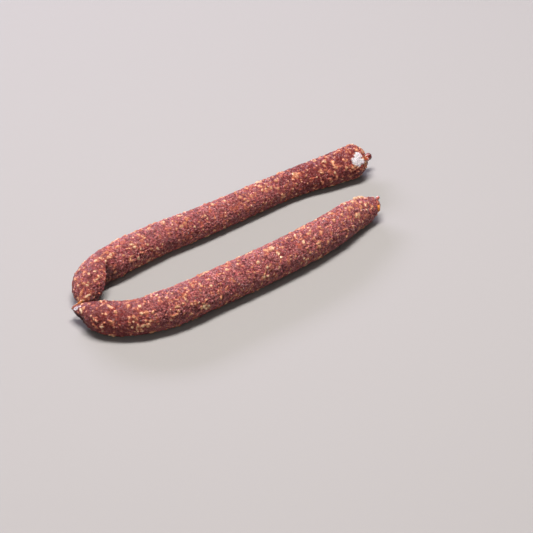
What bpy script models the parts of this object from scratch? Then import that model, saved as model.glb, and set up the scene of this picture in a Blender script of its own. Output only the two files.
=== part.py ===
"""A string of two semi-dry sausage links, lying in a V.

The string is one filled casing. The back link and the front link are parted by a short
twist of bare casing at the left, and each free end closes in a small dried knot. All of
it is one solid. The underside rests on the ground plane z = 0, and the origin is the
middle of the string's footprint. Sizes below are in millimetres.
"""
import bmesh
import bpy
import numpy as np
from mathutils import Matrix

MM = 0.001

# Each row is one place on the middle line of a link: x, y and the link's radius there.
# The back link runs from its free end at the right, round its hooked left end.
BACK_LINK = [
    (141.7, 68.3, 14.5),
    (111.0, 64.8, 13.0),
    (78.0, 61.8, 11.6),
    (34.0, 50.3, 11.7),
    (-19.0, 35.8, 12.4),
    (-54.0, 27.8, 13.1),
    (-94.0, 14.3, 13.5),
    (-114.5, 5.3, 12.6),
    (-132.0, -15.4, 12.5),
    (-138.6, -26.2, 11.0),
]
# The front link runs from its pointed left end to its free end at the right.
FRONT_LINK = [
    (-145.9, -30.9, 9.8),
    (-137.8, -42.3, 12.2),
    (-130.0, -54.2, 13.2),
    (-110.0, -64.2, 13.9),
    (-85.0, -65.2, 15.0),
    (-38.0, -54.2, 14.7),
    (-4.0, -44.7, 14.7),
    (34.0, -33.2, 14.5),
    (80.0, -14.2, 13.7),
    (103.0, -1.2, 12.3),
    (116.6, 3.6, 10.6),
    (125.2, 6.4, 9.8),
]
NECK_RADIUS = 1.7
TWIST_HEIGHT = 11.0
FREE_END = {"length": 14.0, "power": 2.2}
TWIST_END_BACK = {"length": 23.0, "power": 1.5}
TWIST_END_FRONT = {"length": 25.0, "power": 1.28}
TAPERED_FREE_END = {"length": 15.0, "power": 2.0}
FREE_END_HEIGHT_BACK = 14.0
FREE_END_HEIGHT_FRONT = 12.5

# Each knot row is the distance past the link's end, the rise and the radius there.
BEAD_KNOT = [(1.0, -0.4, 2.1), (2.6, -0.9, 2.7), (4.2, -1.2, 3.1), (5.9, -1.2, 2.6), (7.1, -1.2, 1.2)]
TAIL_KNOT = [(0.4, 1.4, 1.9), (1.2, 2.4, 1.5), (2.0, 3.0, 1.4), (2.6, 3.4, 0.8)]

SIDES = 24
RINGS_PER_LINK = 48
RINGS_IN_TWIST = 7
FLATTENING = 0.55
HEADING_STEP = 0.5

# A ring is out of round by an oval and a weaker three-sided swell. Both turn along the
# route, by an angle in radians for each millimetre, and fade out where the ring is narrow.
UNEVENNESS = 0.018
OVAL_TURN = 0.055
THREE_SIDED_TURN = -0.09
THREE_SIDED_START = 1.0
THREE_SIDED_SHARE = 0.7
FULL_UNEVENNESS_RADIUS = 8.0
CASING_COLOUR = (0.26, 0.075, 0.075, 1.0)
CASING_ROUGHNESS = 0.42


def smooth_line(knots, values, at):
    """Value at each place along a smooth curve that passes through every given value."""
    values = np.asarray(values, float).reshape(len(knots), -1)
    gaps = np.diff(knots)
    slopes = np.diff(values, axis=0) / gaps[:, None]
    tangents = np.empty_like(values)
    before, after = gaps[:-1, None], gaps[1:, None]
    tangents[1:-1] = (slopes[:-1] * after + slopes[1:] * before) / (before + after)
    tangents[0] = 1.5 * slopes[0] - 0.5 * tangents[1]
    tangents[-1] = 1.5 * slopes[-1] - 0.5 * tangents[-2]
    span = np.clip(np.searchsorted(knots, at, side="right") - 1, 0, len(gaps) - 1)
    t = ((at - knots[span]) / gaps[span])[:, None]
    reach = gaps[span][:, None]
    start_pull = (t**3 - 2 * t**2 + t) * reach * tangents[span]
    end_pull = (t**3 - t**2) * reach * tangents[span + 1]
    near = (2 * t**3 - 3 * t**2 + 1) * values[span]
    far = (3 * t**2 - 2 * t**3) * values[span + 1]
    return near + start_pull + far + end_pull


def closing(distance, end):
    """Share of the full radius at a distance from a link's closed end."""
    t = np.clip(distance / end["length"], 0.0, 1.0)
    return (1.0 - (1.0 - t) ** end["power"]) ** (1.0 / end["power"])


def ease(distance, length):
    """Smooth step from 0 at the end to 1 at the given distance from it."""
    t = np.clip(distance / length, 0.0, 1.0)
    return t * t * (3.0 - 2.0 * t)


def crowded_to_ends(start, stop, count):
    """Places from start to stop that lie closer together near both ends."""
    swing = 0.5 - 0.5 * np.cos(np.linspace(0.0, np.pi, count))
    return start + (stop - start) * swing


def link_rings(knots, rows, first, last, ends, heights):
    """Rings of one link: places along the route, radii and middle heights."""
    places = crowded_to_ends(knots[first], knots[last], RINGS_PER_LINK)
    full = smooth_line(knots[first:last + 1], rows[first:last + 1, 2], places)[:, 0]
    from_start = places - knots[first]
    from_stop = knots[last] - places
    share = closing(from_start, ends[0]) * closing(from_stop, ends[1])
    radius = NECK_RADIUS + (full - NECK_RADIUS) * share
    height = full - FLATTENING
    for distance, end, target in ((from_start, ends[0], heights[0]), (from_stop, ends[1], heights[1])):
        height = target + (height - target) * ease(distance, end["length"])
    return places, radius, height


def string_rings():
    """Centre, heading angle and radius of every ring from one free end to the other."""
    rows = np.array(BACK_LINK + FRONT_LINK, float)
    steps = np.linalg.norm(np.diff(rows[:, :2], axis=0), axis=1)
    knots = np.concatenate([[0.0], np.cumsum(steps)])
    turn = len(BACK_LINK) - 1
    back = link_rings(knots, rows, 0, turn, (FREE_END, TWIST_END_BACK),
                      (FREE_END_HEIGHT_BACK, TWIST_HEIGHT))
    front = link_rings(knots, rows, turn + 1, len(rows) - 1, (TWIST_END_FRONT, TAPERED_FREE_END),
                       (TWIST_HEIGHT, FREE_END_HEIGHT_FRONT))
    between = np.linspace(knots[turn], knots[turn + 1], RINGS_IN_TWIST + 2)[1:-1]
    places = np.concatenate([back[0], between, front[0]])
    radius = np.concatenate([back[1], np.full(RINGS_IN_TWIST, NECK_RADIUS), front[1]])
    height = np.concatenate([back[2], np.full(RINGS_IN_TWIST, TWIST_HEIGHT), front[2]])
    middle = smooth_line(knots, rows[:, :2], places)
    ahead = smooth_line(knots, rows[:, :2], np.minimum(places + HEADING_STEP, knots[-1]))
    behind = smooth_line(knots, rows[:, :2], np.maximum(places - HEADING_STEP, 0.0))
    heading = np.arctan2(ahead[:, 1] - behind[:, 1], ahead[:, 0] - behind[:, 0])
    rings = [(*middle[i], height[i], heading[i], radius[i], places[i]) for i in range(len(places))]
    return knot_rings(rings[0], BEAD_KNOT, -1)[::-1] + rings + knot_rings(rings[-1], TAIL_KNOT, 1)


def knot_rings(end_ring, profile, way):
    """Rings of the dried knot that carries on past a link's free end."""
    x, y, z, heading, _, place = end_ring
    along = np.array([np.cos(heading), np.sin(heading)]) * way
    made = []
    for distance, rise, radius in profile:
        made.append((x + along[0] * distance, y + along[1] * distance, z + rise, heading, radius, place))
    return made


def add_ring(mesh, ring):
    """One ring of edges, standing across the route, a little out of round."""
    x, y, z, heading, radius, place = ring
    across = Matrix.Rotation(heading, 4, "Z") @ Matrix.Rotation(np.pi / 2, 4, "Y")
    spot = Matrix.Translation((x, y, z)) @ across
    verts = bmesh.ops.create_circle(mesh, segments=SIDES, radius=1.0, matrix=Matrix())["verts"]
    for index, vert in enumerate(verts):
        angle = 2.0 * np.pi * index / SIDES
        oval = np.sin(2.0 * angle + OVAL_TURN * place)
        three_sided = np.sin(3.0 * angle + THREE_SIDED_TURN * place + THREE_SIDED_START)
        swell = UNEVENNESS * (oval + THREE_SIDED_SHARE * three_sided)
        reach = radius * (1.0 + swell * min(1.0, radius / FULL_UNEVENNESS_RADIUS))
        vert.co = spot @ (vert.co * reach)
    return list({edge for vert in verts for edge in vert.link_edges})


def close_end(mesh, edges):
    """A shallow cap over an open ring."""
    cap = bmesh.ops.contextual_create(mesh, geom=edges)["faces"]
    bmesh.ops.poke(mesh, faces=cap)


def sausage_mesh():
    """The whole string as one closed mesh, in metres."""
    mesh = bmesh.new()
    loops = [add_ring(mesh, ring) for ring in string_rings()]
    for here, there in zip(loops, loops[1:]):
        bmesh.ops.bridge_loops(mesh, edges=here + there)
    close_end(mesh, loops[0])
    close_end(mesh, loops[-1])
    for vert in mesh.verts:
        vert.co.z = max(vert.co.z, 0.0)
    bmesh.ops.scale(mesh, vec=(MM, MM, MM), verts=mesh.verts)
    bmesh.ops.recalc_face_normals(mesh, faces=mesh.faces)
    bmesh.ops.triangulate(mesh, faces=mesh.faces)
    return mesh


def casing_material():
    """Natural casing dried onto the meat: dark brownish red with a satin face."""
    material = bpy.data.materials.new("dried_casing")
    material.use_nodes = True
    shader = material.node_tree.nodes["Principled BSDF"]
    shader.inputs["Base Color"].default_value = CASING_COLOUR
    shader.inputs["Roughness"].default_value = CASING_ROUGHNESS
    shader.inputs["Metallic"].default_value = 0.0
    return material


def sausage_string():
    """The one object of the part."""
    data = bpy.data.meshes.new("sausage_string")
    shape = sausage_mesh()
    shape.to_mesh(data)
    shape.free()
    data.shade_smooth()
    data.materials.append(casing_material())
    bpy.context.scene.collection.objects.link(bpy.data.objects.new("sausage_string", data))


for old in list(bpy.data.objects):
    bpy.data.objects.remove(old)
sausage_string()
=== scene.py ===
from math import pi, radians

import bmesh
import bpy
import numpy as np
from mathutils import Matrix, Vector, kdtree, noise


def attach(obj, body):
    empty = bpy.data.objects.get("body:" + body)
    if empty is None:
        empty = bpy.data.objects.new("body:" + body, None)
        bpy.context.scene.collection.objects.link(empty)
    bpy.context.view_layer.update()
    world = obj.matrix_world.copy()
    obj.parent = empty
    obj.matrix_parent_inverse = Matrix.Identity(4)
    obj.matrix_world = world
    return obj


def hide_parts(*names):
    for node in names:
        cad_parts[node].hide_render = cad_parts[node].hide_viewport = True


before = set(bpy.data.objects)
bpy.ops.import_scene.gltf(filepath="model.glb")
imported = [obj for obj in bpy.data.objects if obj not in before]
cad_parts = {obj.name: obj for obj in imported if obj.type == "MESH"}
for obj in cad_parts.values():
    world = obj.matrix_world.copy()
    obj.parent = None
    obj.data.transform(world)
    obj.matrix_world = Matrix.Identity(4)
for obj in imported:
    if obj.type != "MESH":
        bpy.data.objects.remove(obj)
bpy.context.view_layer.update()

# The camera
# A long lens looks down on the string from the front left, as in the photograph. Its place
# is in metres and its turns are in degrees, both fitted to the photograph's perspective.
CAMERA_PLACE = (-0.9330, -2.4180, 1.8484)
CAMERA_AZIMUTH = -21.658
CAMERA_ELEVATION = 35.666
CAMERA_ROLL = -0.790
SENSOR_MM = 36.0
LENS_MM = 270.2

camera_data = bpy.data.cameras.new("camera")
camera_data.sensor_width = SENSOR_MM
camera_data.lens = LENS_MM
camera_data.clip_end = 50.0
camera = bpy.data.objects.new("camera", camera_data)
bpy.context.scene.collection.objects.link(camera)
camera.matrix_world = (
    Matrix.Translation(CAMERA_PLACE)
    @ Matrix.Rotation(radians(CAMERA_AZIMUTH), 4, "Z")
    @ Matrix.Rotation(radians(90.0 - CAMERA_ELEVATION), 4, "X")
    @ Matrix.Rotation(radians(CAMERA_ROLL), 4, "Z")
)
bpy.context.scene.camera = camera
bpy.context.scene.view_settings.view_transform = "Standard"

# The back link
# Coarse pork and back fat stuffed into hog casing, then dried until the casing clings.
# The lean shrinks more than the fat, so the fat stands up in lumps under the wrinkled skin.
MM = 0.001
# Both links lie along one line, so the front link's rows are given here too. They hold x, y
# and radius in millimetres, from the back link's free end.
BACK_LINK = [
    (141.7, 68.3, 14.5),
    (111.0, 64.8, 13.0),
    (78.0, 61.8, 11.6),
    (34.0, 50.3, 11.7),
    (-19.0, 35.8, 12.4),
    (-54.0, 27.8, 13.1),
    (-94.0, 14.3, 13.5),
    (-114.5, 5.3, 12.6),
    (-132.0, -15.4, 12.5),
    (-138.6, -26.2, 11.0),
]
FRONT_LINK = [
    (-145.9, -30.9, 9.8),
    (-137.8, -42.3, 12.2),
    (-130.0, -54.2, 13.2),
    (-110.0, -64.2, 13.9),
    (-85.0, -65.2, 15.0),
    (-38.0, -54.2, 14.7),
    (-4.0, -44.7, 14.7),
    (34.0, -33.2, 14.5),
    (80.0, -14.2, 13.7),
    (103.0, -1.2, 12.3),
    (116.6, 3.6, 10.6),
    (125.2, 6.4, 9.8),
]
# The rows where the back link and the front link end.
TURN = len(BACK_LINK) - 1
LAST = len(BACK_LINK) + len(FRONT_LINK) - 1
# The neck of the closed casing, how much the underside has settled, and the twist's height.
NECK_RADIUS = 1.7
FLATTENING = 0.55
TWIST_HEIGHT = 11.0
# A closed end is its length, how blunt its curve is, and the height of its tip.
BACK_ENDS = ((14.0, 2.2, 14.0), (23.0, 1.5, TWIST_HEIGHT))
# A link starts as a cage of rings, closer together at its tips. They are a little large,
# because the subdivision that smooths them pulls them in.
CAGE_SIDES = 22
CAGE_RINGS = 66
CAGE_SWELL = 1.0137
TIP_CROWDING = 1.5
TIP_REACH = 6.0
FINE_LEVELS = 3
HEADING_STEP = 0.5


def smooth_line(knots, values, at):
    """Value at each place along a smooth curve that passes through every given value."""
    values = np.asarray(values, float).reshape(len(knots), -1)
    gaps = np.diff(knots)
    slopes = np.diff(values, axis=0) / gaps[:, None]
    tangents = np.empty_like(values)
    before, after = gaps[:-1, None], gaps[1:, None]
    tangents[1:-1] = (slopes[:-1] * after + slopes[1:] * before) / (before + after)
    tangents[0] = 1.5 * slopes[0] - 0.5 * tangents[1]
    tangents[-1] = 1.5 * slopes[-1] - 0.5 * tangents[-2]
    span = np.clip(np.searchsorted(knots, at, side="right") - 1, 0, len(gaps) - 1)
    t = ((at - knots[span]) / gaps[span])[:, None]
    reach = gaps[span][:, None]
    start_pull = (t**3 - 2 * t**2 + t) * reach * tangents[span]
    end_pull = (t**3 - t**2) * reach * tangents[span + 1]
    near = (2 * t**3 - 3 * t**2 + 1) * values[span]
    far = (3 * t**2 - 2 * t**3) * values[span + 1]
    return near + start_pull + far + end_pull


def rising(value, low, high):
    """0 below low, 1 above high and a smooth rise between them."""
    t = np.clip((value - low) / (high - low), 0.0, 1.0)
    return t * t * (3.0 - 2.0 * t)


rows = np.array(BACK_LINK + FRONT_LINK)
knots = np.concatenate([[0.0], np.cumsum(np.linalg.norm(np.diff(rows[:, :2], axis=0), axis=1))])


def route(places):
    """Middle line in plan and its heading, at distances along the whole string."""
    middle = smooth_line(knots, rows[:, :2], places)
    ahead = smooth_line(knots, rows[:, :2], np.minimum(places + HEADING_STEP, knots[-1]))
    behind = smooth_line(knots, rows[:, :2], np.maximum(places - HEADING_STEP, 0.0))
    run = ahead - behind
    return middle, np.arctan2(run[:, 1], run[:, 0])


def link_form(places, first, last, ends):
    """Radius and height of a link's middle, at distances along the string."""
    full = smooth_line(knots[first:last + 1], rows[first:last + 1, 2], places)[:, 0]
    share = np.ones_like(places)
    height = full - FLATTENING
    from_first = (places - knots[first], ends[0])
    from_last = (knots[last] - places, ends[1])
    for distance, (length, power, tip) in (from_first, from_last):
        t = np.clip(distance / length, 0.0, 1.0)
        share *= (1.0 - (1.0 - t) ** power) ** (1.0 / power)
        height = tip + (height - tip) * rising(distance, 0.0, length)
    return NECK_RADIUS + (full - NECK_RADIUS) * share, height


def close_sweep(mesh, loops):
    """Joins the rings into one skin and caps both ends."""
    for here, there in zip(loops, loops[1:]):
        bmesh.ops.bridge_loops(mesh, edges=here + there)
    for loop in (loops[0], loops[-1]):
        cap = bmesh.ops.contextual_create(mesh, geom=loop)["faces"]
        bmesh.ops.poke(mesh, faces=cap)
    bmesh.ops.recalc_face_normals(mesh, faces=mesh.faces)


def subdivided(mesh, name, levels):
    """The piece with its subdivision applied, as an object in millimetres."""
    coarse = bpy.data.meshes.new(name + "_cage")
    mesh.to_mesh(coarse)
    mesh.free()
    piece = bpy.data.objects.new(name, coarse)
    bpy.context.scene.collection.objects.link(piece)
    smoothing = piece.modifiers.new("smoothing", "SUBSURF")
    smoothing.levels = smoothing.render_levels = levels
    shape = piece.evaluated_get(bpy.context.evaluated_depsgraph_get())
    fine = bpy.data.meshes.new_from_object(shape)
    piece.modifiers.clear()
    piece.data = fine
    fine.name = name
    bpy.data.meshes.remove(coarse)
    return piece


def read(collection, attribute, width):
    """One attribute of a mesh's vertices or faces as an array."""
    values = np.empty(len(collection) * width)
    collection.foreach_get(attribute, values)
    return values.reshape(-1, width)


def store(piece, name, values):
    """A named value on every vertex, for the materials."""
    layer = piece.data.attributes.new(name, "FLOAT", "POINT")
    layer.data.foreach_set("value", np.asarray(values, np.float32))


def finish_mesh(piece, points):
    """Puts the shaped points back, in metres, and shades the piece smooth."""
    piece.data.vertices.foreach_set("co", (points * MM).ravel())
    piece.data.shade_smooth()
    piece.data.update()


def unevenness(points, size, seed, octaves=2):
    """Random swell between about -1 and 1 that changes over the given size."""
    offset = Vector((seed * 17.3, seed * 5.9, seed * 11.7))
    step = 1.0 / size
    return np.array([noise.fractal(Vector(p) * step + offset, 0.6, 2.1, octaves) for p in points])


# Large uneven steps that give neighbouring crumbs unlike tones.
TONE_STEPS = (12.9898, 78.233, 37.719)
TONE_STRIDE = 43758.5453


def crumbs(points, size, wander, seed):
    """Coarse mince: how far inside its crumb each point is, and a random tone for the crumb.

    The noise gets a seed because it would otherwise start from the clock.
    """
    offset = Vector((seed * 3.7, seed * 9.1, seed * 6.3))
    noise.seed_set(seed)
    inside = np.empty(len(points))
    hearts = np.empty((len(points), 3))
    for index, point in enumerate(points):
        spot = Vector(point) / size + offset
        spot += wander * noise.noise_vector(spot * 0.9)
        distances, places = noise.voronoi(spot)
        inside[index] = distances[1] - distances[0]
        hearts[index] = places[0]
    mixed_up = np.sin(hearts @ TONE_STEPS) * TONE_STRIDE
    return inside, mixed_up - np.floor(mixed_up)


# Fat pieces by kind: how many on a link, half length in millimetres, width as a share of
# the length, how high the casing stands over them, and how pale they may be.
FAT_KINDS = (
    {"count": 310, "long": (0.9, 1.9), "slim": (0.6, 1.0), "lift": 0.72, "pale": (0.25, 1.0)},
    {"count": 800, "long": (0.5, 1.0), "slim": (0.65, 1.0), "lift": 0.48, "pale": (0.18, 1.0)},
    {"count": 90, "long": (1.2, 2.2), "slim": (0.28, 0.42), "lift": 0.30, "pale": (0.25, 1.0)},
    {"count": 200, "long": (0.9, 1.9), "slim": (0.6, 1.0), "lift": 0.15, "pale": (0.12, 0.16)},
)
# Orange fat crowds the dome at the free end, and some of the largest pieces lie in clusters.
FREE_END_FAT = {"count": 130, "long": (0.7, 1.5), "slim": (0.6, 1.0), "lift": 0.50, "pale": (0.15, 0.5)}
FREE_END_FAT_REACH = 22.0
FAT_CLUSTERS = 24
CLUSTER_SIZE = 6
CLUSTER_SPREAD = 2.6
# Most pieces are nearer the stained end of their range than the pale end.
PALENESS_BETA = (1.2, 2.0)


def scatter_fat(piece, random, crowded_end):
    """Centre, surface normal, way, long half, wide half, tone and lift of every fat piece."""
    centres = read(piece.data.polygons, "center", 3)
    normals = read(piece.data.polygons, "normal", 3)
    chance = read(piece.data.polygons, "area", 1)[:, 0]
    chance /= chance.sum()
    chosen = []
    for kind in FAT_KINDS:
        chosen += [(face, kind) for face in random.choice(len(centres), kind["count"], p=chance)]
    for heart in random.choice(len(centres), FAT_CLUSTERS, p=chance):
        near = np.flatnonzero(np.linalg.norm(centres - centres[heart], axis=1) < CLUSTER_SPREAD)
        chosen += [(face, FAT_KINDS[0]) for face in random.choice(near, CLUSTER_SIZE)]
    if crowded_end is not None:
        away = np.linalg.norm(centres[:, :2] - crowded_end, axis=1)
        near_end = chance * np.exp(-away / FREE_END_FAT_REACH)
        faces = random.choice(len(centres), FREE_END_FAT["count"], p=near_end / near_end.sum())
        chosen += [(face, FREE_END_FAT) for face in faces]
    fat = []
    for face, kind in chosen:
        long_half = random.uniform(*kind["long"])
        wide_half = long_half * random.uniform(*kind["slim"])
        normal = normals[face]
        side = np.cross(normal, (0.0, 0.0, 1.0) if abs(normal[2]) < 0.9 else (1.0, 0.0, 0.0))
        side /= np.linalg.norm(side)
        turn = random.uniform(0.0, 2.0 * pi)
        way = np.cos(turn) * side + np.sin(turn) * np.cross(normal, side)
        least, most = kind["pale"]
        tone = least + (most - least) * random.beta(*PALENESS_BETA)
        fat.append((centres[face], normal, way, long_half, wide_half, tone, kind["lift"], False))
    return fat


MARK_OVERHANG = 0.3


def placed_fat(points, normals, marks):
    """The pieces of fat that show best, from rows of two ends, half width, tone and lift."""
    fat = []
    for start, stop, wide_half, tone, lift in marks:
        start, stop = np.array(start), np.array(stop)
        nearest = np.argmin(((points - (start + stop) / 2) ** 2).sum(axis=1))
        normal = normals[nearest]
        way = stop - start
        long_half = np.linalg.norm(way) / 2 + MARK_OVERHANG * wide_half
        way = way - normal * (way @ normal)
        way /= np.linalg.norm(way)
        long_half = max(long_half, wide_half)
        fat.append((points[nearest], normal, way, long_half, wide_half, tone, lift, True))
    return fat


# How far a piece of fat is felt, in its own half lengths. Its outline is ragged: so many
# waves round it, each of a depth.
FAT_REACH = 2.2
FAT_WAVES = ((2, 0.14), (3, 0.10), (5, 0.05))
# Millimetres inside a piece: where there is no fat, where a chosen piece wins over the
# others, and where the casing starts to rise. It is fully up at a share of the half width.
NO_FAT = -1.5
CHOSEN_EDGE = -0.3
RISE_START = -0.35
RISE_FULL = 0.7


def press_fat(points, fat, random):
    """Millimetres inside the nearest fat piece, its tone and how far it lifts the casing."""
    tree = kdtree.KDTree(len(points))
    for index, point in enumerate(points):
        tree.insert(point, index)
    tree.balance()
    depth = np.full(len(points), NO_FAT)
    tones = np.zeros(len(points))
    lifted = np.zeros(len(points))
    for centre, normal, way, long_half, wide_half, tone, lift, chosen in fat:
        phases = random.uniform(0.0, 2.0 * pi, len(FAT_WAVES))
        found = np.array([item[1] for item in tree.find_range(centre, long_half * FAT_REACH)])
        if not len(found):
            continue
        offset = points[found] - centre
        u = offset @ way / long_half
        v = offset @ np.cross(normal, way) / wide_half
        angle = np.arctan2(v, u)
        ragged = sum(
            depth_share * np.sin(waves * angle + phase)
            for (waves, depth_share), phase in zip(FAT_WAVES, phases)
        )
        inward = (1.0 - np.hypot(u, v) * (1.0 + ragged)) * wide_half
        wins = (inward > depth[found]) | (chosen & (inward > CHOSEN_EDGE))
        depth[found[wins]] = inward[wins]
        tones[found[wins]] = tone
        rise = lift * rising(inward, RISE_START, RISE_FULL * wide_half)
        lifted[found] = np.maximum(lifted[found], rise)
    return depth, tones, lifted


ROUTE_SAMPLES = 600
POINT_BATCHES = 40


def place_on_link(points, first, last, ends):
    """Where each point lies: distance along the string, then offset to the left and up."""
    samples = np.linspace(knots[first], knots[last], ROUTE_SAMPLES)
    middle, heading = route(samples)
    nearest = np.concatenate([
        np.argmin(((part[:, None, :2] - middle[None]) ** 2).sum(axis=2), axis=1)
        for part in np.array_split(points, POINT_BATCHES)
    ])
    place = samples[nearest]
    _, height = link_form(place, first, last, ends)
    left = np.stack([-np.sin(heading[nearest]), np.cos(heading[nearest])], axis=1)
    lateral = ((points[:, :2] - middle[nearest]) * left).sum(axis=1)
    return np.stack([place, lateral, points[:, 2] - height], axis=1)


# The mince in millimetres, coarse and fine: the size of a crumb, how far its edges wander
# as a share of that, and how high it stands. Between crumbs the casing sinks into seams.
CRUMB_SIZE, CRUMB_WANDER, CRUMB_RISE = 2.4, 0.55, 0.45
SMALL_CRUMB_SIZE, SMALL_CRUMB_WANDER, SMALL_CRUMB_RISE = 1.3, 0.5, 0.30
MINCE_LEVEL = 0.38
SEAM_WIDTH = 0.3
# The casing in millimetres: slow swellings, and wrinkles that run round the link.
SWELL_SIZE, SWELL_RISE = 12.0, 0.38
WRINKLE_SIZE, WRINKLE_DEPTH, WRINKLE_STRETCH = 3.4, 0.9, 1.6
# Pleats gather the casing at a closed end. They slant and wander, and the last few
# millimetres are bare of meat.
PLEATS, PLEAT_DEPTH, PLEAT_REACH = 9, 0.5, 13.0
PLEAT_SLANT, PLEAT_WANDER = 0.12, 7.0
BARE_REACH = 4.0
# Thinner than this radius, the relief fades, down to a tenth at a tip.
FULL_RELIEF_RADIUS = 9.0


def dress_link(piece, first, last, ends, marks, crowded_end, end_shade, shape_more, seed):
    """Wrinkles the link, sets the fat in it and stores what the casing material reads."""
    random = np.random.default_rng(seed)
    points = read(piece.data.vertices, "co", 3)
    normals = read(piece.data.vertices, "normal", 3)
    along = place_on_link(points, first, last, ends)
    radius, _ = link_form(along[:, 0], first, last, ends)
    fat = scatter_fat(piece, random, crowded_end) + placed_fat(points, normals, marks)
    depth, tone, lift = press_fat(points, fat, random)
    inside, crumb_tone = crumbs(points, CRUMB_SIZE, CRUMB_WANDER, seed)
    small_inside, small_tone = crumbs(points, SMALL_CRUMB_SIZE, SMALL_CRUMB_WANDER, seed + 1)
    mince = CRUMB_RISE * (0.35 + crumb_tone) * rising(inside, 0.0, 0.6)
    mince += SMALL_CRUMB_RISE * (0.4 + small_tone) * rising(small_inside, 0.0, 0.55) - MINCE_LEVEL
    swell = SWELL_RISE * unevenness(points, SWELL_SIZE, seed)
    drawn_out = along * (WRINKLE_STRETCH, 1.0, 1.0)
    wrinkle = WRINKLE_DEPTH * (0.2 - np.abs(unevenness(drawn_out, WRINKLE_SIZE, seed + 1)))
    ends_in = np.minimum(along[:, 0] - knots[first], knots[last] - along[:, 0])
    gathered = rising(-ends_in, -PLEAT_REACH, 0.0)
    drift = unevenness(points, PLEAT_WANDER, seed + 3)
    angle = np.arctan2(along[:, 2], along[:, 1])
    phase = 0.5 * PLEATS * angle + PLEAT_SLANT * ends_in + drift
    pleat = -PLEAT_DEPTH * gathered * np.abs(np.sin(phase))
    fullness = np.clip(radius / FULL_RELIEF_RADIUS, 0.1, 1.0)
    relief = (mince + wrinkle + lift + pleat) * fullness
    shaped = points + normals * (swell * fullness + relief)[:, None]
    shaped, painted_fold_shade, bloom_and_glint = shape_more(shaped, normals, along)
    shaped[:, 2] = np.maximum(shaped[:, 2], 0.0)
    finish_mesh(piece, shaped)
    store(piece, "fat", depth)
    store(piece, "fat_tone", tone)
    store(piece, "crumb", crumb_tone)
    store(piece, "small_crumb", small_tone)
    # The seams and the relief are stored for the material's painted shade.
    store(piece, "seam", 1.0 - rising(np.minimum(inside, small_inside * 1.3), 0.0, SEAM_WIDTH))
    store(piece, "relief", wrinkle + pleat + 0.4 * swell)
    store(piece, "gathered", rising(-ends_in, -BARE_REACH, 0.0))
    store(piece, "painted_fold_shade", painted_fold_shade)
    store(piece, "bloom_and_glint", bloom_and_glint)
    store(piece, "end_shade", np.interp(along[:, 0] - knots[first], *end_shade))
    layer = piece.data.attributes.new("drawn_out", "FLOAT_VECTOR", "POINT")
    layer.data.foreach_set("vector", np.asarray(drawn_out, np.float32).ravel())


PROFILE_SAMPLES = 2000


def make_link(name, first, last, ends, marks, crowded_end, end_shade, shape_more, seed):
    """One link, from its cage of rings to its dressed skin."""
    samples = np.linspace(knots[first], knots[last], PROFILE_SAMPLES)
    profile, _ = link_form(samples, first, last, ends)
    ends_in = np.minimum(samples - knots[first], knots[last] - samples)
    crowding = 1.0 + TIP_CROWDING * np.exp(-ends_in / TIP_REACH)
    steps = np.hypot(np.gradient(samples), np.gradient(profile)) * crowding
    skin = np.concatenate([[0.0], np.cumsum(steps[1:])])
    places = np.interp(np.linspace(0.0, skin[-1], CAGE_RINGS), skin, samples)
    middle, heading = route(places)
    radius, height = link_form(places, first, last, ends)
    cage = bmesh.new()
    loops = []
    for (x, y), z, turn, reach in zip(middle, height, heading, radius):
        standing = Matrix.Rotation(turn, 4, "Z") @ Matrix.Rotation(pi / 2, 4, "Y")
        spot = Matrix.Translation((x, y, z)) @ standing
        around = reach * CAGE_SWELL
        ring = bmesh.ops.create_circle(cage, segments=CAGE_SIDES, radius=around, matrix=spot)["verts"]
        loops.append(list(dict.fromkeys(edge for vert in ring for edge in vert.link_edges)))
    close_sweep(cage, loops)
    piece = subdivided(cage, name, FINE_LEVELS)
    dress_link(piece, first, last, ends, marks, crowded_end, end_shade, shape_more, seed)
    return piece


# The fold where the casing buckles inside the bend, from its top to its foot. The skin
# beyond it sinks and is darkened with painted shade, and its near lip stands up.
FOLD_TOP = np.array([-108.4, 0.6, 22.3])
FOLD_FOOT = np.array([-115.6, -14.0, 13.2])
FOLD_INWARD = np.array([-0.55, 0.55, -0.6])
FOLD_DEPTH = 6.8
FOLD_REACH = 7.0
FOLD_LIP = 1.8
LIP_REACH = 3.0
FOLD_PAINTED_SHADE = 0.97
PAINTED_SHADE_REACH = 15.0
# Where the sinking and the painted shade set in across the fold, then along it as a share of
# its length, and where they end inward of it.
SINK_EDGE, PAINTED_SHADE_EDGE = (-0.4, 1.3), (-0.3, 0.6)
SINK_START, PAINTED_SHADE_START = (-0.2, 0.4), (-0.05, 0.35)
SINK_END, PAINTED_SHADE_END = (6.0, 12.0), (12.0, 20.0)
# White bloom on the dome and a painted highlight in the fold, in blobs of x, y, z and radius.
BLOOM_AND_GLINT = [
    (131.8, 58.9, 23.6, 4.0),
    (130.3, 55.5, 20.8, 4.7),
    (133.5, 55.7, 19.8, 3.2),
    (127.4, 56.2, 21.5, 3.0),
    (130.4, 53.9, 18.3, 2.3),
    (-110.2, -5.6, 18.4, 1.1),
]
BLOOM_AND_GLINT_RISE = 0.25
BLOOM_AND_GLINT_GRAIN = 1.8
BLOOM_AND_GLINT_RAGGEDNESS = 0.35


def lay_bloom_and_glint(points, blobs, raggedness):
    """How thickly each point is covered with white, for bloom and for painted highlights, from blobs of
    x, y, z and radius.
    """
    bloom_and_glint = np.zeros(len(points))
    for x, y, z, radius in blobs:
        away = np.linalg.norm(points - (x, y, z), axis=1)
        bloom_and_glint = np.maximum(bloom_and_glint, 1.0 - away / radius)
    near = np.flatnonzero(bloom_and_glint > 0.0)
    bloom_and_glint[near] += raggedness * unevenness(points[near], BLOOM_AND_GLINT_GRAIN, 5)
    return rising(bloom_and_glint, 0.05, 0.35)


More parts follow.
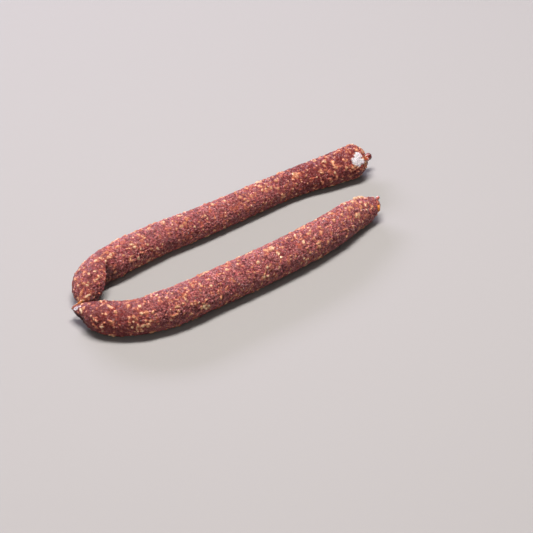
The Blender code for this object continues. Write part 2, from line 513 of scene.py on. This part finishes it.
def fold_shade_bloom_and_glint(points, normals, along):
    """Sinks the skin beyond the fold and paints shade on it, lifts its near lip, lays on the bloom and
    paints a highlight in the fold.
    """
    run = FOLD_FOOT - FOLD_TOP
    across = np.cross(run, FOLD_INWARD)
    across /= np.linalg.norm(across)
    from_top = points - FOLD_TOP
    down = from_top @ run / (run @ run)
    side = from_top @ across
    off_face = np.linalg.norm(from_top - down[:, None] * run - side[:, None] * across, axis=1)
    strength = rising(down, *SINK_START) * (1.0 - rising(off_face, *SINK_END))
    far = rising(side, *SINK_EDGE)
    sunk = np.exp(-(side / FOLD_REACH) ** 2) * far * strength
    lip = FOLD_LIP * np.exp(-np.abs(side) / LIP_REACH) * (1.0 - far) * strength
    # Painted shade: the skin just beyond the fold is darkened where the near lip shades it.
    shaded_side = rising(side, *PAINTED_SHADE_EDGE)
    painted_fold_shade = FOLD_PAINTED_SHADE * np.exp(-(side / PAINTED_SHADE_REACH) ** 2) * shaded_side * rising(down, *PAINTED_SHADE_START)
    painted_fold_shade *= 1.0 - rising(off_face, *PAINTED_SHADE_END)
    bloom_and_glint = lay_bloom_and_glint(points, BLOOM_AND_GLINT, BLOOM_AND_GLINT_RAGGEDNESS)
    moved = lip - FOLD_DEPTH * sunk + BLOOM_AND_GLINT_RISE * bloom_and_glint
    return points + normals * moved[:, None], painted_fold_shade, bloom_and_glint


# The fat that shows best: its two ends and half width in millimetres, how pale it is, and
# how far it lifts the casing.
BACK_MARKS = [
    ((-136.3, -26.3, 14.4), (-129.9, -23.7, 14.8), 1.00, 1.0, 0.6),
    ((-134.5, -26.6, 13.4), (-131.6, -25.4, 13.4), 0.60, 0.5, 0.3),
    ((-138.8, -22.8, 15.1), (-135.0, -20.6, 18.3), 1.00, 0.32, 0.6),
    ((-134.2, -16.3, 20.5), (-132.1, -16.7, 21.0), 1.28, 0.4, 0.4),
    ((-129.1, -16.4, 21.5), (-129.3, -17.7, 20.7), 0.88, 0.8, 0.4),
    ((-123.2, -15.4, 21.0), (-120.3, -14.6, 20.1), 0.76, 1.0, 0.4),
    ((-120.4, -16.5, 18.2), (-120.9, -18.3, 15.7), 0.64, 0.5, 0.3),
    ((-121.4, -8.0, 23.7), (-120.4, -8.7, 23.1), 1.28, 0.8, 0.5),
    ((-126.1, -9.0, 24.5), (-126.7, -10.9, 23.9), 1.04, 0.8, 0.4),
    ((-131.1, -7.6, 23.9), (-127.1, -6.4, 24.7), 1.04, 0.35, 0.3),
    ((-127.2, -0.9, 24.1), (-126.1, -0.4, 24.3), 1.04, 0.5, 0.3),
    ((-117.0, 2.7, 24.5), (-114.5, 3.6, 24.3), 1.44, 0.65, 0.5),
    ((-105.5, 4.8, 24.1), (-102.2, 4.9, 24.1), 1.44, 0.5, 0.5),
    ((-108.3, 2.3, 23.3), (-106.6, 2.4, 23.1), 0.80, 0.85, 0.3),
    ((-112.4, -5.0, 21.0), (-113.4, -8.0, 19.0), 0.70, 0.3, 0.3),
    ((-113.9, -9.0, 18.2), (-115.2, -12.8, 14.6), 0.45, 0.2, 0.2),
    ((-101.7, -2.6, 13.1), (-100.4, -2.3, 12.7), 1.36, 0.35, 0.5),
    ((-83.8, 12.3, 25.6), (-79.5, 12.6, 25.1), 1.28, 0.6, 0.5),
    ((-85.8, 9.5, 24.6), (-84.3, 9.0, 23.9), 1.04, 0.45, 0.4),
    ((-81.9, 9.7, 23.8), (-79.1, 10.5, 23.7), 1.20, 0.75, 0.5),
    ((-66.8, 10.5, 17.0), (-65.3, 11.0, 16.8), 1.28, 0.35, 0.6),
    ((-70.2, 11.5, 21.3), (-67.8, 12.8, 21.7), 0.80, 0.8, 0.4),
    ((137.9, 65.3, 24.6), (136.5, 60.8, 24.1), 0.95, 0.6, 0.6),
    ((125.2, 66.7, 26.4), (127.2, 66.0, 26.6), 0.80, 0.45, 0.4),
    ((135.3, 55.2, 18.9), (137.0, 55.3, 16.2), 1.25, 0.5, 0.7),
    ((124.2, 53.5, 18.2), (126.2, 52.9, 16.7), 1.36, 0.35, 0.7),
    ((122.4, 52.7, 16.4), (123.6, 52.5, 13.5), 0.96, 0.3, 0.6),
    ((131.1, 53.1, 14.6), (133.7, 53.8, 12.6), 1.04, 0.2, 0.6),
]
# How far painted shade darkens the lean, at distances along the link from its first end.
BACK_END_SHADE = ((0.0, 15.0, 60.0, 90.0, 240.0, 262.0), (0.9, 0.9, 0.8, 0.1, 0.0, 0.4))
back_link = make_link(
    "back_link", 0, TURN, BACK_ENDS, BACK_MARKS, rows[0, :2], BACK_END_SHADE, fold_shade_bloom_and_glint, 11
)


def colour(code):
    """An sRGB hex colour as the linear values that the shader takes."""
    parts = [int(code[i:i + 2], 16) / 255.0 for i in (1, 3, 5)]
    linear = [c / 12.92 if c <= 0.04045 else ((c + 0.055) / 1.055) ** 2.4 for c in parts]
    return (*linear, 1.0)


def add(tree, kind, settings=None, inputs=None):
    """Adds a node. Inputs go by name or number and are numbers, hex colours, nodes or sockets."""
    made = tree.nodes.new("ShaderNode" + kind)
    for name, value in (settings or {}).items():
        setattr(made, name, value)
    for key, value in (inputs or {}).items():
        named = [s for s in made.inputs if s.enabled and s.name == key]
        socket = named[0] if named else made.inputs[key]
        if isinstance(value, bpy.types.Node):
            value = next(s for s in value.outputs if s.enabled)
        if isinstance(value, bpy.types.NodeSocket):
            tree.links.new(value, socket)
        else:
            socket.default_value = colour(value) if isinstance(value, str) else value
    return made


BLEND = {"data_type": "RGBA"}
SMOOTH = {"interpolation_type": "SMOOTHSTEP"}
# The casing's patterns in millimetres: patches of red and mauve, grain, pores, cobbling by
# the mince, and the spacing of pepper. Real pores are finer; these are as coarse as they
# need to be to show.
PATCH_SIZE = 7.0
GRAIN_SIZE = 1.9
PORE_SIZE = 0.8
COBBLE_SIZE = 1.5
PEPPER_SPACING = 8.0
COBBLE_HEIGHT = 0.5
CREASE_DEPTH = 0.35
PORE_DEPTH = 0.12


def fill_ramp(ramp, stops):
    """Sets a colour ramp's stops from pairs of place and hex colour."""
    for _ in range(len(stops) - 2):
        ramp.elements.new(0.5)
    for element, (place, code) in zip(ramp.elements, stops):
        element.position = place
        element.color = colour(code)


def casing_on_meat():
    """Natural casing dried on coarse meat: satin, mottled rose and mauve, with fat showing.

    The patterns follow the link: they read its own coordinates in millimetres, drawn out
    along it so that wrinkles run round it more than along it.
    """
    material = bpy.data.materials.new("dried_hog_casing_over_coarse_pork")
    material.use_nodes = True
    tree = material.node_tree
    shader = tree.nodes["Principled BSDF"]
    where = add(tree, "Attribute", {"attribute_name": "drawn_out"}).outputs["Vector"]
    stored = {
        name: add(tree, "Attribute", {"attribute_name": name}).outputs["Fac"]
        for name in ("fat", "fat_tone", "crumb", "small_crumb", "seam", "relief", "gathered",
                     "painted_fold_shade", "bloom_and_glint", "end_shade")
    }
    zones = add(tree, "TexNoise", None, {"Vector": where, "Scale": 1.0 / PATCH_SIZE, "Detail": 3.0,
                                         "Roughness": 0.6})
    grain = add(tree, "TexNoise", None, {"Vector": where, "Scale": 1.0 / GRAIN_SIZE, "Detail": 3.0,
                                         "Roughness": 0.7, "Distortion": 0.8})
    fine = add(tree, "TexNoise", None, {"Vector": where, "Scale": 1.0 / PORE_SIZE, "Detail": 2.0,
                                        "Roughness": 0.6})
    pebbles = add(tree, "TexVoronoi", None, {"Vector": where, "Scale": 1.0 / COBBLE_SIZE,
                                             "Randomness": 1.0})
    ridge = add(tree, "Math", {"operation": "ABSOLUTE"}, {
        0: add(tree, "Math", {"operation": "SUBTRACT"}, {0: grain.outputs["Fac"], 1: 0.5})})
    crease = add(tree, "MapRange", SMOOTH, {"Value": ridge, "From Min": 0.0, "From Max": 0.07,
                                            "To Min": 1.0, "To Max": 0.0})
    # Lean meat: each crumb has its own red, and the whole drifts between red and mauve.
    lean = add(tree, "ValToRGB", None, {"Fac": stored["crumb"]})
    fill_ramp(lean.color_ramp, ((0.0, "#86303a"), (0.25, "#d46068"), (0.5, "#ee7a78"),
                                (0.72, "#e87a70"), (0.88, "#ea9a92"), (1.0, "#da767c")))
    small = add(tree, "ValToRGB", None, {"Fac": stored["small_crumb"]})
    fill_ramp(small.color_ramp, ((0.0, "#641e26"), (0.3, "#c05c62"), (0.6, "#e87e7a"),
                                 (0.82, "#e89e92"), (1.0, "#fcd0c2")))
    lean = add(tree, "Mix", BLEND, {"Factor": 0.45, "A": lean, "B": small})
    # Painted highlight: the raised tops of the pores are lightened into small glints.
    painted_pore_glint = add(tree, "MapRange", SMOOTH, {"Value": fine.outputs["Fac"], "From Min": 0.5,
                                             "From Max": 0.62, "To Max": 0.45})
    lean = add(tree, "Mix", BLEND, {"Factor": painted_pore_glint, "A": lean, "B": "#f2b6ae"})
    # Painted shade: the sunken pores are darkened.
    painted_pit_shade = add(tree, "MapRange", SMOOTH, {"Value": fine.outputs["Fac"], "From Min": 0.44,
                                          "From Max": 0.35, "To Max": 0.4})
    lean = add(tree, "Mix", BLEND, {"Factor": painted_pit_shade, "A": lean, "B": "#4c0e12"})
    mauve = add(tree, "MapRange", SMOOTH, {"Value": zones.outputs["Fac"], "From Min": 0.47,
                                           "From Max": 0.68, "To Max": 0.3})
    lean = add(tree, "Mix", BLEND, {"Factor": mauve, "A": lean, "B": "#b06872"})
    # Painted shade: low relief, the wrinkle valleys and the end pleats, is darkened.
    painted_hollow_shade = add(tree, "MapRange", SMOOTH, {"Value": stored["relief"], "From Min": 0.05,
                                          "From Max": -0.3, "To Max": 0.6})
    lean = add(tree, "Mix", BLEND, {"Factor": painted_hollow_shade, "A": lean, "B": "#4c1018"})
    # Painted shade: the seams between crumbs, where the casing sinks, are darkened.
    painted_seam_shade = add(tree, "Math", {"operation": "MULTIPLY"}, {0: stored["seam"], 1: 0.7})
    lean = add(tree, "Mix", BLEND, {"Factor": painted_seam_shade, "A": lean, "B": "#420c12"})
    # Painted shade: the lean is darkened towards the link ends where less light falls.
    end_shade = add(tree, "Math", {"operation": "MULTIPLY"}, {0: stored["end_shade"], 1: 0.72})
    lean = add(tree, "Mix", BLEND, {"Factor": end_shade, "A": lean, "B": "#6c1a14"})
    halo = add(tree, "MapRange", SMOOTH, {"Value": stored["fat"], "From Min": -0.7, "From Max": 0.0,
                                          "To Max": 0.5})
    lean = add(tree, "Mix", BLEND, {"Factor": halo, "A": lean, "B": "#c6624e"})
    # Back fat: orange where thin or stained, cream at the heart of the larger pieces.
    edge = add(tree, "Math", {"operation": "MULTIPLY_ADD"}, {0: fine.outputs["Fac"], 1: 0.7, 2: -0.35})
    ragged = add(tree, "Math", {"operation": "ADD"}, {0: stored["fat"], 1: edge})
    rim = add(tree, "ValToRGB", None, {"Fac": stored["fat_tone"]})
    fill_ramp(rim.color_ramp, ((0.0, "#ee7c20"), (0.09, "#ee7c20"), (0.12, "#c4684e"),
                               (0.5, "#ce8462"), (0.9, "#dea07c")))
    heart = add(tree, "ValToRGB", None, {"Fac": stored["fat_tone"]})
    fill_ramp(heart.color_ramp, ((0.0, "#ffa444"), (0.09, "#ffa444"), (0.12, "#ce7858"),
                                 (0.5, "#e6aa80"), (0.9, "#fadab4")))
    core = add(tree, "MapRange", SMOOTH, {"Value": ragged, "From Min": 0.1, "From Max": 0.5})
    fat = add(tree, "Mix", BLEND, {"Factor": core, "A": rim, "B": heart})
    shown = add(tree, "MapRange", SMOOTH, {"Value": ragged, "From Min": -0.12, "From Max": 0.18})
    sheer = add(tree, "ValToRGB", None, {"Fac": stored["fat_tone"]})
    fill_ramp(sheer.color_ramp, ((0.09, "#ffffff"), (0.12, "#a0a0a0"), (0.3, "#ffffff")))
    shown = add(tree, "Math", {"operation": "MULTIPLY"}, {0: shown, 1: sheer})
    body = add(tree, "Mix", BLEND, {"Factor": shown, "A": lean, "B": fat})
    # Painted shade: the grain's creases are darkened as well as bumped.
    line = add(tree, "Math", {"operation": "MULTIPLY"}, {0: crease, 1: 0.4})
    body = add(tree, "Mix", BLEND, {"Factor": line, "A": body, "B": "#5a1c22"})
    pepper = add(tree, "TexVoronoi", None, {"Vector": where, "Scale": 1.0 / PEPPER_SPACING})
    speck = add(tree, "MapRange", SMOOTH, {"Value": pepper.outputs["Distance"], "From Min": 0.085,
                                           "From Max": 0.045, "To Max": 0.85})
    body = add(tree, "Mix", BLEND, {"Factor": speck, "A": body, "B": "#2b2a33"})
    bare = add(tree, "Math", {"operation": "MULTIPLY"}, {0: stored["gathered"], 1: 0.5})
    body = add(tree, "Mix", BLEND, {"Factor": bare, "A": body, "B": "#a8502f"})
    # Painted shade: the skin beyond the fold and the pleat at the front tip are mixed towards near
    # black.
    body = add(tree, "Mix", BLEND, {"Factor": stored["painted_fold_shade"], "A": body, "B": "#22080c"})
    streaks = add(tree, "MapRange", SMOOTH, {"Value": grain.outputs["Fac"], "From Min": 0.38,
                                             "From Max": 0.5})
    # The bloom's chalky white, also used as a painted highlight in the fold and along the front tip's
    # edge.
    chalk_and_glint = add(tree, "Mix", BLEND, {"Factor": streaks, "A": "#c0a0ac", "B": "#f0ecf0"})
    body = add(tree, "Mix", BLEND, {"Factor": stored["bloom_and_glint"], "A": body, "B": chalk_and_glint})
    tree.links.new(body.outputs[2], shader.inputs["Base Color"])
    satin = add(tree, "MapRange", SMOOTH, {"Value": zones.outputs["Fac"], "From Min": 0.3,
                                           "From Max": 0.7, "To Min": 0.13, "To Max": 0.25})
    satin = add(tree, "Mix", None, {"Factor": stored["bloom_and_glint"], "A": satin, "B": 0.85})
    satin = add(tree, "Mix", None, {"Factor": stored["painted_fold_shade"], "A": satin, "B": 0.8})
    tree.links.new(satin.outputs[0], shader.inputs["Roughness"])
    shader.inputs["IOR"].default_value = 1.4
    shader.inputs["Subsurface Weight"].default_value = 0.06
    shader.inputs["Subsurface Radius"].default_value = (1.0, 0.35, 0.2)
    shader.inputs["Subsurface Scale"].default_value = 0.6 * MM
    shader.inputs["Sheen Weight"].default_value = 0.04
    shader.inputs["Sheen Roughness"].default_value = 0.45
    shader.inputs["Sheen Tint"].default_value = colour("#e4d8ff")
    round_top = add(tree, "MapRange", SMOOTH, {"Value": pebbles.outputs["Distance"],
                                               "From Min": 0.75, "From Max": 0.1})
    cobbles = add(tree, "Bump", None, {"Strength": 1.0, "Distance": COBBLE_HEIGHT * MM,
                                       "Height": round_top})
    creases = add(tree, "Bump", {"invert": True}, {"Strength": 0.9, "Distance": CREASE_DEPTH * MM,
                                                   "Height": crease, "Normal": cobbles})
    pores = add(tree, "Bump", None, {"Strength": 1.0, "Distance": PORE_DEPTH * MM,
                                     "Height": fine.outputs["Fac"], "Normal": creases})
    tree.links.new(pores.outputs["Normal"], shader.inputs["Normal"])
    return material


casing = casing_on_meat()
back_link.data.materials.append(casing)
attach(back_link, "root")
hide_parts("sausage_string")

# The front link
# The same filling and casing, a little fatter, tapered at the twist and at its free end.
# One large orange piece of fat bulges out beside its tail.
FRONT_ENDS = ((25.0, 1.28, TWIST_HEIGHT), (15.0, 2.0, 12.5))
FRONT_MARKS = [
    ((-145.1, -40.3, 15.9), (-144.5, -45.1, 14.9), 1.4, 0.9, 0.5),
    ((-147.6, -43.5, 11.5), (-146.4, -54.0, 10.5), 0.40, 0.45, 0.3),
    ((-128.0, -57.6, 26.0), (-125.8, -61.5, 25.8), 1.44, 0.55, 0.5),
    ((-140.9, -58.7, 17.7), (-140.2, -60.0, 18.0), 0.96, 0.7, 0.5),
    ((-132.1, -62.6, 23.4), (-132.1, -64.3, 22.5), 1.04, 0.55, 0.4),
    ((-131.0, -68.1, 19.0), (-128.2, -70.4, 18.0), 1.52, 0.3, 0.6),
    ((-106.9, -69.0, 26.5), (-105.2, -69.4, 26.6), 1.36, 1.0, 0.5),
    ((-113.3, -73.8, 22.7), (-113.0, -75.2, 21.1), 1.36, 0.35, 0.5),
    ((-116.0, -76.8, 14.6), (-115.0, -77.3, 13.5), 1.20, 0.7, 0.5),
    ((-102.2, -79.3, 18.3), (-100.7, -79.8, 17.6), 1.36, 0.45, 0.5),
    ((105.0, 6.5, 20.6), (110.4, 8.0, 20.2), 1.7, 0.75, 2.0),
    ((109.6, 8.0, 20.2), (115.4, 7.9, 19.5), 1.7, 0.7, 1.9),
    ((92.2, 1.8, 22.6), (95.6, 2.6, 22.2), 0.9, 0.7, 0.7),
    ((110.3, -3.1, 21.4), (111.6, -5.2, 19.8), 1.04, 0.75, 0.5),
    ((114.5, -1.0, 20.5), (114.9, -2.1, 20.0), 0.80, 0.8, 0.4),
    ((103.9, -1.5, 23.6), (105.8, -3.0, 23.0), 1.04, 0.45, 0.4),
    ((95.1, -6.9, 25.0), (97.9, -8.5, 24.1), 1.60, 0.4, 0.4),
    ((92.2, -7.6, 25.5), (92.4, -9.6, 25.2), 0.88, 0.8, 0.4),
    ((122.9, -2.0, 15.8), (123.4, -3.0, 11.0), 2.0, 0.05, 1.3),
    ((122.4, 0.4, 17.4), (123.4, -0.6, 15.8), 1.5, 0.14, 1.2),
    ((107.6, -11.2, 17.0), (112.0, -10.1, 13.5), 1.28, 0.2, 0.5),
    ((101.0, -15.8, 17.0), (101.7, -16.3, 14.3), 0.88, 0.6, 0.4),
    ((105.3, -9.0, 20.8), (106.5, -9.6, 19.7), 0.64, 0.8, 0.3),
    ((90.0, -16.6, 24.0), (91.2, -17.8, 22.8), 1.20, 0.4, 0.4),
    ((92.2, -19.0, 21.1), (92.7, -20.3, 19.5), 0.72, 0.65, 0.3),
]
# How far painted shade darkens the lean, at distances along the link from the twist.
FRONT_END_SHADE = ((0.0, 12.0, 38.0, 75.0, 260.0), (0.3, 1.0, 0.9, 0.0, 0.0))
# A sunk pleat with painted shade runs from the tip along the lower left side: where it lies
# round the link and where its width fades out, in radians, then how far it runs, in millimetres.
PLEAT_ANGLE = radians(-155.0)
PLEAT_WIDTH = (0.42, 0.62)
PLEAT_RUN = (12.0, 20.0)
PLEAT_SINK = 0.5
PLEAT_PAINTED_SHADE = 0.88
# The filling swells below the tail, at this point.
FULL_END = np.array([124.0, 0.5, 15.0])
FULL_END_SWELL = 1.6
FULL_END_REACH = 6.5
# A painted highlight along the tip's edge, in blobs of x, y, z and radius.
TIP_PAINTED_GLINT = [
    (-147.6, -36.3, 13.6, 1.7),
    (-146.2, -37.4, 15.3, 1.8),
    (-144.6, -38.3, 16.6, 1.6),
]
TIP_GLINT_COVER = 0.9
TIP_GLINT_RAGGEDNESS = 0.6


def pleat_shade_tip_glint_and_swell(points, normals, along):
    """Sinks the pleat at the tip and paints shade in it, paints a highlight along the tip's edge and
    fills out the free end.
    """
    off = np.abs(np.arctan2(along[:, 2], along[:, 1]) - PLEAT_ANGLE)
    off = np.minimum(off, 2.0 * pi - off)
    ends_in = along[:, 0] - knots[TURN + 1]
    pleat = (1.0 - rising(off, *PLEAT_WIDTH)) * (1.0 - rising(ends_in, *PLEAT_RUN))
    bloom_and_glint = TIP_GLINT_COVER * lay_bloom_and_glint(points, TIP_PAINTED_GLINT, TIP_GLINT_RAGGEDNESS)
    off_end = np.linalg.norm(points - FULL_END, axis=1)
    moved = FULL_END_SWELL * np.exp(-(off_end / FULL_END_REACH) ** 2) - PLEAT_SINK * pleat
    return points + normals * moved[:, None], PLEAT_PAINTED_SHADE * pleat, bloom_and_glint


front_link = make_link(
    "front_link", TURN + 1, LAST, FRONT_ENDS, FRONT_MARKS, None, FRONT_END_SHADE, pleat_shade_tip_glint_and_swell, 23
)
front_link.data.materials.append(casing)
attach(front_link, "root")
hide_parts("sausage_string")

# The casing twist
# Between the links the casing is empty and twisted shut. It dries into a hard amber strip
# that lies along the back edge of the front link's tip.
CORD_SIDES = 16
CORD_LEVELS = 2
CORD_PLEATS = 5
# The dried casing is uneven by so many millimetres, over lumps of this size.
CORD_UNEVENNESS = 0.12
CORD_LUMP = 1.1
# Bunches of casing, by which its colour turns from amber to dark, in millimetres.
BUNCH_SIZE = 1.4


def pleated_cord(name, path, turns, pleat_depth, seed):
    """A cord of twisted casing through rows of x, y, z, radius and how thin the casing is there."""
    path = np.array(path)
    steps = np.concatenate([[0.0], np.cumsum(np.linalg.norm(np.diff(path[:, :3], axis=0), axis=1))])
    places = np.linspace(0.0, steps[-1], 4 * len(path))
    line = smooth_line(steps, path, places)
    cord = bmesh.new()
    loops = []
    for index, (x, y, z, radius, _) in enumerate(line):
        run = line[min(index + 1, len(line) - 1), :3] - line[max(index - 1, 0), :3]
        turned = Vector(run).to_track_quat("Z", "Y").to_matrix().to_4x4()
        spot = Matrix.Translation((x, y, z)) @ turned
        verts = bmesh.ops.create_circle(cord, segments=CORD_SIDES, radius=radius, matrix=spot)["verts"]
        for k, vert in enumerate(verts):
            angle = 2.0 * pi * (k / CORD_SIDES + turns * places[index] / steps[-1])
            squeeze = 1.0 - pleat_depth * abs(np.sin(0.5 * CORD_PLEATS * angle))
            vert.co = Vector((x, y, z)) + (vert.co - Vector((x, y, z))) * squeeze
        loops.append(list(dict.fromkeys(edge for vert in verts for edge in vert.link_edges)))
    close_sweep(cord, loops)
    piece = subdivided(cord, name, CORD_LEVELS)
    points = read(piece.data.vertices, "co", 3)
    normals = read(piece.data.vertices, "normal", 3)
    nearest = np.argmin(((points[:, None] - line[None, :, :3]) ** 2).sum(axis=2), axis=1)
    rough = unevenness(points, CORD_LUMP, seed)
    finish_mesh(piece, points + normals * CORD_UNEVENNESS * rough[:, None])
    store(piece, "thin", line[nearest, 4])
    return piece


def bare_casing(name, thin, thick):
    """Bare hog casing, twisted and dried hard: glossy, amber where thin and dark where bunched."""
    material = bpy.data.materials.new(name)
    material.use_nodes = True
    tree = material.node_tree
    shader = tree.nodes["Principled BSDF"]
    where = add(tree, "TexCoord").outputs["Object"]
    bunching = add(tree, "TexNoise", None, {"Vector": where, "Scale": 1.0 / (BUNCH_SIZE * MM),
                                            "Detail": 3.0, "Roughness": 0.6})
    stored = add(tree, "Attribute", {"attribute_name": "thin"}).outputs["Fac"]
    share = add(tree, "Math", {"operation": "ADD"}, {0: bunching.outputs["Fac"], 1: stored})
    share = add(tree, "MapRange", SMOOTH, {"Value": share, "From Min": 0.55, "From Max": 1.35})
    tint = add(tree, "Mix", BLEND, {"Factor": share, "A": thick, "B": thin})
    tree.links.new(tint.outputs[2], shader.inputs["Base Color"])
    shader.inputs["Roughness"].default_value = 0.12
    shader.inputs["IOR"].default_value = 1.5
    shader.inputs["Coat Weight"].default_value = 0.6
    shader.inputs["Coat Roughness"].default_value = 0.08
    shader.inputs["Subsurface Weight"].default_value = 0.2
    shader.inputs["Subsurface Radius"].default_value = (1.0, 0.4, 0.15)
    shader.inputs["Subsurface Scale"].default_value = 0.8 * MM
    return material


def finish_cord(cord, material):
    """Gives a cord its finish and tells the frame what it stands for."""
    cord.data.materials.append(material)
    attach(cord, "root")
    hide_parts("sausage_string")


TWIST_PATH = [
    (-134.5, -21.0, 11.5, 2.6, 0.3),
    (-137.6, -24.9, 11.6, 1.9, 0.6),
    (-140.4, -27.4, 11.8, 1.4, 0.9),
    (-143.4, -29.3, 12.0, 1.25, 0.7),
    (-146.2, -30.9, 12.1, 1.3, 0.5),
    (-148.2, -32.1, 11.8, 1.1, 0.4),
    (-149.0, -32.8, 11.6, 0.5, 0.5),
]
casing_twist = pleated_cord("casing_twist", TWIST_PATH, 2.0, 0.25, 31)
finish_cord(casing_twist, bare_casing("amber_dried_casing", "#9a5618", "#4e200e"))

# The bead knot
# At the back link's free end the twisted casing is drawn into a tight knot. It dries dark
# and glossy, with a thin amber lobe pressed against the dome.
UP = np.array([0.0, 0.0, 1.0])


def tip_frame(place, first, last, ends, outward):
    """The middle of a link's closed end, and the ways out of it and to its left."""
    middle, heading = route(np.array([place]))
    _, height = link_form(np.array([place]), first, last, ends)
    way = outward * np.array([np.cos(heading[0]), np.sin(heading[0]), 0.0])
    return np.array([*middle[0], height[0]]), way, np.cross(UP, way)


def path_from(frame_parts, steps):
    """Rows of a cord's path from rows of out, left, up, radius and thinness at a link's end."""
    start, out, left = frame_parts
    return [
        (*(start + out * along + left * across + UP * rise), radius, thin)
        for along, across, rise, radius, thin in steps
    ]


KNOT_STEPS = [
    (-2.5, 0.0, 0.2, 3.0, 0.2),
    (-0.6, 0.0, 0.0, 2.2, 0.6),
    (0.6, 0.0, -0.3, 1.8, 0.8),
    (1.7, 0.0, -0.5, 2.3, 0.5),
    (2.7, 0.0, -0.7, 3.1, 0.25),
    (3.9, 0.0, -0.8, 3.35, 0.15),
    (5.1, 0.0, -0.9, 2.9, 0.1),
    (6.1, 0.0, -1.0, 1.7, 0.1),
    (6.5, 0.0, -1.05, 0.5, 0.1),
]
free_back = tip_frame(knots[0], 0, TURN, BACK_ENDS, -1.0)
bead_knot = pleated_cord("bead_knot", path_from(free_back, KNOT_STEPS), 0.4, 0.1, 37)
LOBE_PATH = [
    (142.4, 66.6, 13.8, 1.6, 0.6),
    (142.0, 63.6, 14.8, 1.9, 0.8),
    (140.8, 60.6, 16.6, 1.9, 0.9),
    (139.2, 58.6, 18.4, 1.6, 1.0),
    (138.3, 57.6, 19.4, 1.1, 0.9),
    (138.0, 57.2, 19.8, 0.4, 0.9),
]
knot_lobe = pleated_cord("knot_lobe", LOBE_PATH, 0.5, 0.12, 43)
finish_cord(bead_knot, bare_casing("dark_dried_casing", "#a83e1c", "#520f0e"))
finish_cord(knot_lobe, bare_casing("amber_lobe_casing", "#a03e16", "#641a0e"))

# The tail
# The front link is closed by twisting the casing off short. The stub stands up as a little
# pinkish tail.
TAIL_STEPS = [
    (-2.0, 0.0, -0.6, 3.0, 0.3),
    (-0.4, 0.0, 0.6, 2.4, 0.5),
    (0.4, 0.0, 1.5, 1.8, 0.4),
    (1.2, 0.0, 2.6, 1.45, 0.5),
    (2.0, 0.0, 3.8, 1.6, 0.7),
    (2.7, 0.0, 4.8, 1.3, 0.8),
    (2.9, 0.0, 5.2, 0.5, 0.5),
]
free_front = tip_frame(knots[LAST], TURN + 1, LAST, FRONT_ENDS, 1.0)
tail_knot = pleated_cord("tail_knot", path_from(free_front, TAIL_STEPS), 0.8, 0.22, 41)
finish_cord(tail_knot, bare_casing("pale_dried_casing", "#b4604e", "#701e1c"))

# The studio
# A plain pale sweep under the string. A wide soft light hangs over it, a low one behind puts
# a sheen on its back edge, and a weak one fills in from the front left.
FLOOR_REACH = 6.0
floor_mesh = bmesh.new()
bmesh.ops.create_grid(floor_mesh, x_segments=1, y_segments=1, size=FLOOR_REACH)
floor_data = bpy.data.meshes.new("floor")
floor_mesh.to_mesh(floor_data)
floor_mesh.free()
floor = bpy.data.objects.new("floor", floor_data)
bpy.context.scene.collection.objects.link(floor)
# Matt uncoated paper, which shows soft shadows and no reflection.
paper = bpy.data.materials.new("matt_paper_backdrop")
paper.use_nodes = True
paper_shader = paper.node_tree.nodes["Principled BSDF"]
paper_shader.inputs["Base Color"].default_value = colour("#8c8a89")
paper_shader.inputs["Roughness"].default_value = 0.9
floor_data.materials.append(paper)


def soft_light(name, place, width, depth, power, tint):
    """A soft box that faces the middle of the string."""
    lamp = bpy.data.lights.new(name, "AREA")
    lamp.shape = "RECTANGLE"
    lamp.size = width
    lamp.size_y = depth
    lamp.energy = power
    lamp.color = colour(tint)[:3]
    holder = bpy.data.objects.new(name, lamp)
    bpy.context.scene.collection.objects.link(holder)
    way = Vector((0.0, 0.0, 0.0)) - Vector(place)
    facing = way.to_track_quat("-Z", "Y").to_matrix().to_4x4()
    holder.matrix_world = Matrix.Translation(place) @ facing


soft_light("key_light", (0.0, 0.05, 2.2), 1.2, 0.5, 97.0, "#fffaf6")
soft_light("back_light", (-0.2, 2.0, 0.95), 1.6, 0.4, 47.0, "#ece4ff")
soft_light("front_light", (-0.9, -1.5, 1.2), 0.9, 0.9, 7.0, "#fff4ea")

world = bpy.data.worlds.new("studio")
bpy.context.scene.world = world
world.use_nodes = True
surroundings = world.node_tree.nodes["Background"]
surroundings.inputs["Color"].default_value = colour("#f4f2f6")
surroundings.inputs["Strength"].default_value = 0.16
